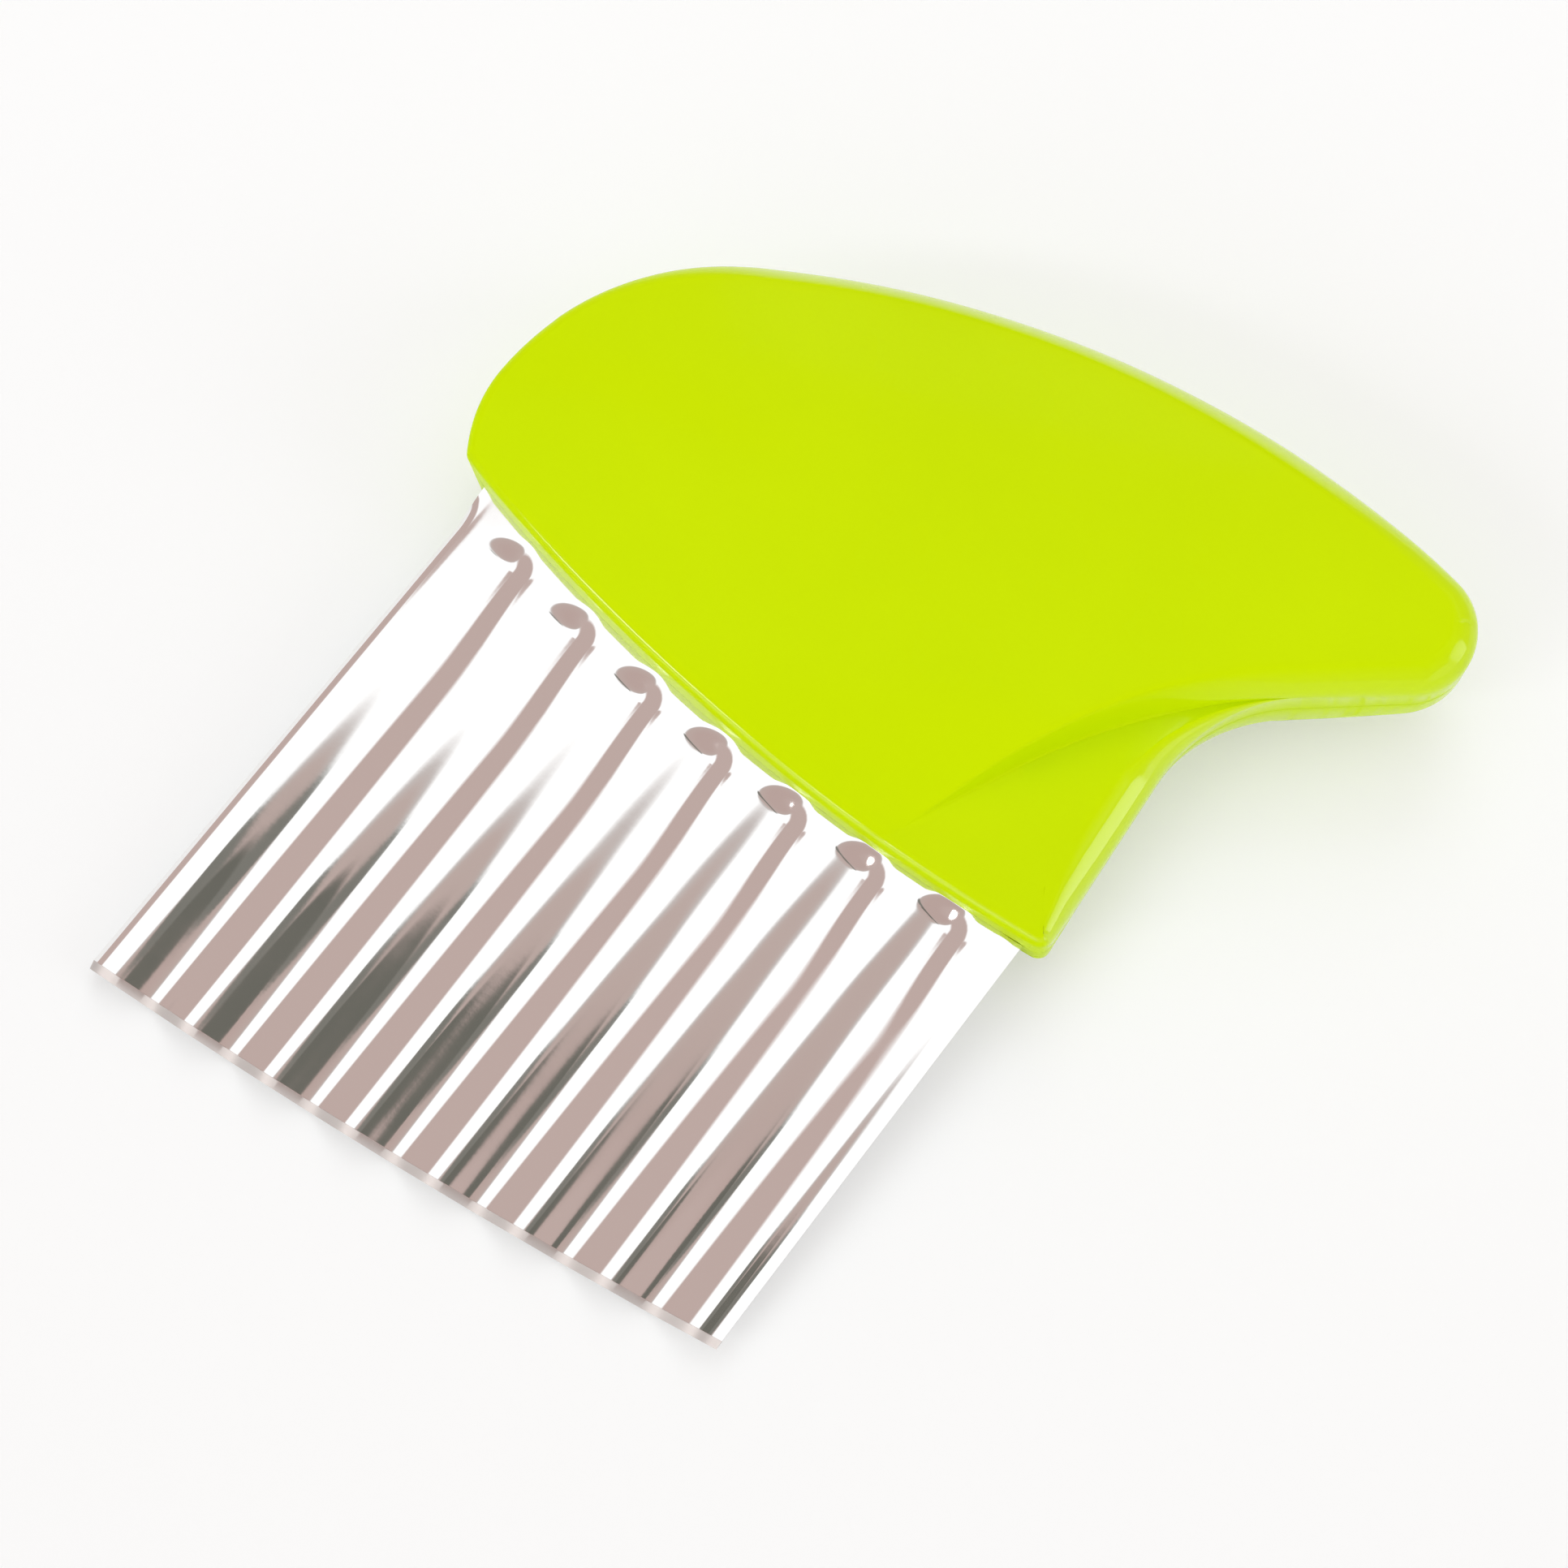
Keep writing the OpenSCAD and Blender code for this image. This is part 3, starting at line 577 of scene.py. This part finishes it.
shellRows, shellEdge = handleRows()
frontShell = wrapGrid("frontShell", shellRows, shellEdge)
rearShell = wrapGrid("rearShell", shellRows * [1, 1, -1], shellEdge)
print("handle shells", len(frontShell.data.polygons))
flutedBlade = wrapGrid("flutedBlade", *bladeRows())
print("blade", len(flutedBlade.data.polygons))


# Finishes

# Numbers of a Mix node's sockets, because those for colours and for values share their names
colourA, colourB, colourOut = 6, 7, 2
valueA, valueB, valueOut = 2, 3, 0


def nodeMaker(tree):
    def add(kind, **values):
        node = tree.nodes.new(kind)
        for key, value in values.items():
            if key in node.inputs:
                node.inputs[key].default_value = value
            else:
                setattr(node, key, value)
        return node
    return add


def rangeFrom(add, band, **values):
    return add("ShaderNodeMapRange", **{"From Min": band[0], "From Max": band[1]}, **values)


def colourMix(add, a=None, b=None):
    mix = add("ShaderNodeMix", data_type="RGBA")
    for socket, tint in ((colourA, a), (colourB, b)):
        if tint:
            mix.inputs[socket].default_value = tint
    return mix


# Handling marks: soft patches that change the gloss, and a fine unevenness for the bump
wear = {"patchDetail": 4.0, "patchRough": 0.6, "patchBand": (0.36, 0.66),
        "finer": 14, "fineDetail": 2.0, "fineRough": 0.5}


def makeMarks():
    group = bpy.data.node_groups.new("handlingMarks", "ShaderNodeTree")
    for name, kind in (("Vector", "NodeSocketVector"), ("Scale", "NodeSocketFloat"),
                       ("Low", "NodeSocketFloat"), ("High", "NodeSocketFloat")):
        group.interface.new_socket(name, in_out="INPUT", socket_type=kind)
    for name in ("Patches", "Roughness", "Height"):
        group.interface.new_socket(name, in_out="OUTPUT", socket_type="NodeSocketFloat")
    add, link = nodeMaker(group), group.links.new
    given, result = add("NodeGroupInput"), add("NodeGroupOutput")
    patch = add("ShaderNodeTexNoise", Detail=wear["patchDetail"], Roughness=wear["patchRough"])
    spread = rangeFrom(add, wear["patchBand"])
    finer = add("ShaderNodeMath", operation="MULTIPLY")
    finer.inputs[1].default_value = wear["finer"]
    fine = add("ShaderNodeTexNoise", Detail=wear["fineDetail"], Roughness=wear["fineRough"])
    link(given.outputs["Vector"], patch.inputs["Vector"])
    link(given.outputs["Scale"], patch.inputs["Scale"])
    link(given.outputs["Vector"], fine.inputs["Vector"])
    link(given.outputs["Scale"], finer.inputs[0])
    link(finer.outputs[0], fine.inputs["Scale"])
    link(patch.outputs["Fac"], spread.inputs["Value"])
    link(given.outputs["Low"], spread.inputs["To Min"])
    link(given.outputs["High"], spread.inputs["To Max"])
    link(patch.outputs["Fac"], result.inputs["Patches"])
    link(spread.outputs["Result"], result.inputs["Roughness"])
    link(fine.outputs["Fac"], result.inputs["Height"])
    return group


marks = makeMarks()


def placeMarks(tree, add, look):
    place, worn = add("ShaderNodeTexCoord"), add("ShaderNodeGroup", node_tree=marks)
    for name in ("Scale", "Low", "High"):
        worn.inputs[name].default_value = look[name]
    tree.links.new(place.outputs["Object"], worn.inputs["Vector"])
    bump = add("ShaderNodeBump", Strength=look["bump"], Distance=look["bumpDepth"])
    tree.links.new(worn.outputs["Height"], bump.inputs["Height"])
    return worn, bump


limePlastic = {"base": (0.59, 0.802, 0.0004, 1), "deep": (0.54, 0.757, 0.0001, 1), "gloss": 0.015,
               "Scale": 40.0, "Low": 0.2, "High": 0.3, "bump": 0.04, "bumpDepth": 0.0001,
               "coatRough": 0.07, "coatFace": 0.015, "coatEdge": 1.0}


def makeLime():
    look = limePlastic
    mat = bpy.data.materials.new("limePlastic")
    mat.use_nodes = True
    tree = mat.node_tree
    add, link, shader = nodeMaker(tree), tree.links.new, tree.nodes["Principled BSDF"]
    worn, bump = placeMarks(tree, add, look)
    tint = colourMix(add, look["base"], look["deep"])
    edge = add("ShaderNodeAttribute", attribute_name="edge")
    coat = add("ShaderNodeMapRange", **{"To Min": look["coatFace"], "To Max": look["coatEdge"]})
    link(worn.outputs["Patches"], tint.inputs[0])
    link(tint.outputs[colourOut], shader.inputs["Base Color"])
    link(worn.outputs["Roughness"], shader.inputs["Roughness"])
    link(bump.outputs["Normal"], shader.inputs["Normal"])
    link(edge.outputs["Fac"], coat.inputs["Value"])
    link(coat.outputs["Result"], shader.inputs["Coat Weight"])
    shader.inputs["Coat Roughness"].default_value = look["coatRough"]
    shader.inputs["Specular IOR Level"].default_value = look["gloss"]
    return mat


polishedSteel = {"base": (0.9, 0.895, 0.89, 1), "groundBase": (0.55, 0.505, 0.485, 1), "groundRough": 0.42,
                 "Scale": 90.0, "Low": 0.04, "High": 0.08, "bump": 0.015, "bumpDepth": 0.00005}


def makeSteel():
    look = polishedSteel
    mat = bpy.data.materials.new("polishedSteel")
    mat.use_nodes = True
    tree = mat.node_tree
    add, link, shader = nodeMaker(tree), tree.links.new, tree.nodes["Principled BSDF"]
    worn, bump = placeMarks(tree, add, look)
    ground = add("ShaderNodeAttribute", attribute_name="edge")
    tint, rough = colourMix(add, look["base"], look["groundBase"]), add("ShaderNodeMix")
    rough.inputs[valueB].default_value = look["groundRough"]
    link(ground.outputs["Fac"], tint.inputs[0])
    link(ground.outputs["Fac"], rough.inputs[0])
    link(worn.outputs["Roughness"], rough.inputs[valueA])
    link(tint.outputs[colourOut], shader.inputs["Base Color"])
    link(rough.outputs[valueOut], shader.inputs["Roughness"])
    link(bump.outputs["Normal"], shader.inputs["Normal"])
    shader.inputs["Metallic"].default_value = 1
    return mat


lime, steel = makeLime(), makeSteel()
for piece, node, slot, mat in ((frontShell, "handle_front_shell", "handle", lime),
                               (rearShell, "handle_rear_shell", "handle", lime),
                               (flutedBlade, "blade", "steel", steel)):
    piece.data.materials.clear()
    piece.data.materials.append(mat)
    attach(piece, "root")
    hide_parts(node)
print("finishes on")


# Stage, light and camera

floorLook = {"size": 40.0, "tint": (0.91, 0.95, 0.955, 1), "rough": 0.9, "paper": 0.38}


# The floor glows a little where it is looked at, so that it stays as pale as paper
def makeFloor():
    bpy.ops.object.select_all(action="DESELECT")
    bpy.ops.mesh.primitive_plane_add(size=floorLook["size"])
    floor = bpy.context.object
    floor.name = "floor"
    mat = bpy.data.materials.new("paleFloor")
    mat.use_nodes = True
    tree = mat.node_tree
    add, link, shader = nodeMaker(tree), tree.links.new, tree.nodes["Principled BSDF"]
    shader.inputs["Base Color"].default_value = floorLook["tint"]
    shader.inputs["Roughness"].default_value = floorLook["rough"]
    shader.inputs["Specular IOR Level"].default_value = 0.0
    seen, share = add("ShaderNodeLightPath"), add("ShaderNodeMath", operation="MULTIPLY")
    either, through = add("ShaderNodeMath", operation="MAXIMUM"), add("ShaderNodeMath", operation="MAXIMUM")
    share.inputs[1].default_value = floorLook["paper"]
    glow, both = add("ShaderNodeEmission", Strength=1.0, Color=(1, 1, 1, 1)), add("ShaderNodeMixShader")
    link(seen.outputs["Is Camera Ray"], either.inputs[0])
    link(seen.outputs["Is Glossy Ray"], either.inputs[1])
    link(either.outputs[0], through.inputs[0])
    link(seen.outputs["Is Transmission Ray"], through.inputs[1])
    link(through.outputs[0], share.inputs[0])
    link(share.outputs[0], both.inputs[0])
    link(shader.outputs[0], both.inputs[1])
    link(glow.outputs[0], both.inputs[2])
    link(both.outputs[0], tree.nodes["Material Output"].inputs["Surface"])
    floor.data.materials.append(mat)
    return floor


makeFloor()

# The room as the blade mirrors it: a ceiling with tints from its left to its right, a rose wall that is pale
# at its foot on the edge's side, and a few spots. Places are parts of a direction across and along the blade.
rose = (0.59, 0.458, 0.425)
room = {
    "strength": 0.96, "lean": 1.5,
    "ceiling": [(0.31, (1.22, 1.22, 1.22)), (0.38, (0.63, 0.575, 0.555)),
                (0.44, (0.575, 0.46, 0.425)), (0.86, (0.555, 0.42, 0.387))],
    "wallTop": (0.66, 0.74), "wall": rose, "foot": (0.95, 0.95, 0.95), "footBand": (0, 0.08), "footLean": 0.5,
    "spotRim": (0.85, 1.15), "spotTall": 100,
    "spots": [{"at": (0.40, -0.075), "turn": -6, "reach": (0.2, 0.03), "tint": (0.22, 0.215, 0.19)},
              {"at": (0.64, -0.092), "turn": -19, "reach": (0.14, 0.036), "tint": (0.16, 0.157, 0.135)},
              {"at": (-0.56, 0.13), "turn": 0, "reach": (0.22, 0.055), "tint": rose},
              {"at": (1.0, 0.0), "turn": 0, "reach": (0.1, 0.4), "tint": (1.5, 1.5, 1.5)},
              {"at": (0.86, 0.32), "turn": 0, "reach": (0.13, 0.18), "tint": (3.5, 3.5, 3.5)},
              {"at": (0.0, -1.0), "turn": 0, "reach": (0.5, 0.15), "tint": (2, 2, 2)},
              {"at": (-0.33, -0.76), "turn": 0, "reach": (0.25, 0.04), "tint": (9, 9, 9)}],
}
facing = math.radians(-lying["slant"])
alongU = np.array([math.cos(facing), math.sin(facing), 0])
alongV = np.array([-math.sin(facing), math.cos(facing), 0])


def dotWith(add, direction):
    node = add("ShaderNodeVectorMath", operation="DOT_PRODUCT")
    node.inputs[1].default_value = direction
    return node


def makeWalls(add, link, look):
    across, scale = dotWith(add, alongU - room["lean"] * alongV), rangeFrom(add, (-1, 1))
    ceiling = add("ShaderNodeValToRGB")
    stops = ceiling.color_ramp.elements
    for k, (at, tint) in enumerate(room["ceiling"]):
        place = (at + 1) / 2
        stop = stops[k] if k < 2 else stops.new(place)  # a new ramp has two stops
        stop.position, stop.color = place, (*tint, 1)
    height, above = add("ShaderNodeSeparateXYZ"), rangeFrom(add, room["wallTop"])
    sloping = dotWith(add, np.array([0, 0, 1]) + room["footLean"] * alongV)
    higher = rangeFrom(add, room["footBand"])
    wall, whole = colourMix(add, (*room["foot"], 1), (*room["wall"], 1)), colourMix(add)
    link(look, across.inputs[0])
    link(across.outputs["Value"], scale.inputs["Value"])
    link(scale.outputs["Result"], ceiling.inputs["Fac"])
    link(look, sloping.inputs[0])
    link(sloping.outputs["Value"], higher.inputs["Value"])
    link(higher.outputs["Result"], wall.inputs[0])
    link(look, height.inputs[0])
    link(height.outputs["Z"], above.inputs["Value"])
    link(above.outputs["Result"], whole.inputs[0])
    link(wall.outputs[colourOut], whole.inputs[colourA])
    link(ceiling.outputs["Color"], whole.inputs[colourB])
    return whole.outputs[colourOut]


def addSpot(add, link, look, spot, behind):
    frameOf = add("ShaderNodeMapping", vector_type="TEXTURE")
    frameOf.inputs["Location"].default_value = spot["at"][0] * alongU + spot["at"][1] * alongV
    frameOf.inputs["Rotation"].default_value[2] = facing + math.radians(spot["turn"])
    frameOf.inputs["Scale"].default_value = (*spot["reach"], room["spotTall"])
    far = add("ShaderNodeVectorMath", operation="LENGTH")
    soft = rangeFrom(add, room["spotRim"], interpolation_type="SMOOTHSTEP")
    over = colourMix(add, (*spot["tint"], 1))
    link(look, frameOf.inputs["Vector"])
    link(frameOf.outputs["Vector"], far.inputs[0])
    link(far.outputs["Value"], soft.inputs["Value"])
    link(soft.outputs["Result"], over.inputs[0])
    link(behind, over.inputs[colourB])
    return over.outputs[colourOut]


# The camera itself sees plain white behind the floor
def makeRoom():
    world = bpy.data.worlds.new("studio")
    bpy.context.scene.world = world
    world.use_nodes = True
    tree = world.node_tree
    add, link, back = nodeMaker(tree), tree.links.new, tree.nodes["Background"]
    look = add("ShaderNodeTexCoord").outputs["Generated"]
    tint = makeWalls(add, link, look)
    for spot in room["spots"]:
        tint = addSpot(add, link, look, spot, tint)
    link(tint, back.inputs["Color"])
    back.inputs["Strength"].default_value = room["strength"]
    path, choose = add("ShaderNodeLightPath"), add("ShaderNodeMixShader")
    clear = add("ShaderNodeBackground", Strength=1.0, Color=(1, 1, 1, 1))
    link(path.outputs["Is Camera Ray"], choose.inputs[0])
    link(back.outputs[0], choose.inputs[1])
    link(clear.outputs[0], choose.inputs[2])
    link(choose.outputs[0], tree.nodes["World Output"].inputs["Surface"])


makeRoom()

softbox = {"power": 0.9, "tint": (0.94, 1, 1.02), "size": 0.4, "at": (-0.2, 0.5, 0.5)}


def makeLamp():
    data = bpy.data.lights.new("softbox", "AREA")
    data.energy, data.size, data.color = softbox["power"], softbox["size"], softbox["tint"]
    lamp = bpy.data.objects.new("softbox", data)
    bpy.context.scene.collection.objects.link(lamp)
    lamp.location = softbox["at"]
    lamp.rotation_euler = (-lamp.location).to_track_quat("-Z", "Y").to_euler()


makeLamp()

view = {"at": (0.04804, -0.075875, 0.258988), "turn": (19.3955, 0.9137, 30.9264), "lens": 61.436,
        "sensor": 36, "clip": (0.01, 20)}


def makeCamera():
    data = bpy.data.cameras.new("camera")
    data.lens, data.sensor_width = view["lens"], view["sensor"]
    data.clip_start, data.clip_end = view["clip"]
    camera = bpy.data.objects.new("camera", data)
    bpy.context.scene.collection.objects.link(camera)
    camera.location = view["at"]
    camera.rotation_euler = [math.radians(a) for a in view["turn"]]
    bpy.context.scene.camera = camera


makeCamera()
bpy.context.scene.view_settings.view_transform = "Standard"
print("stage, light and camera set")
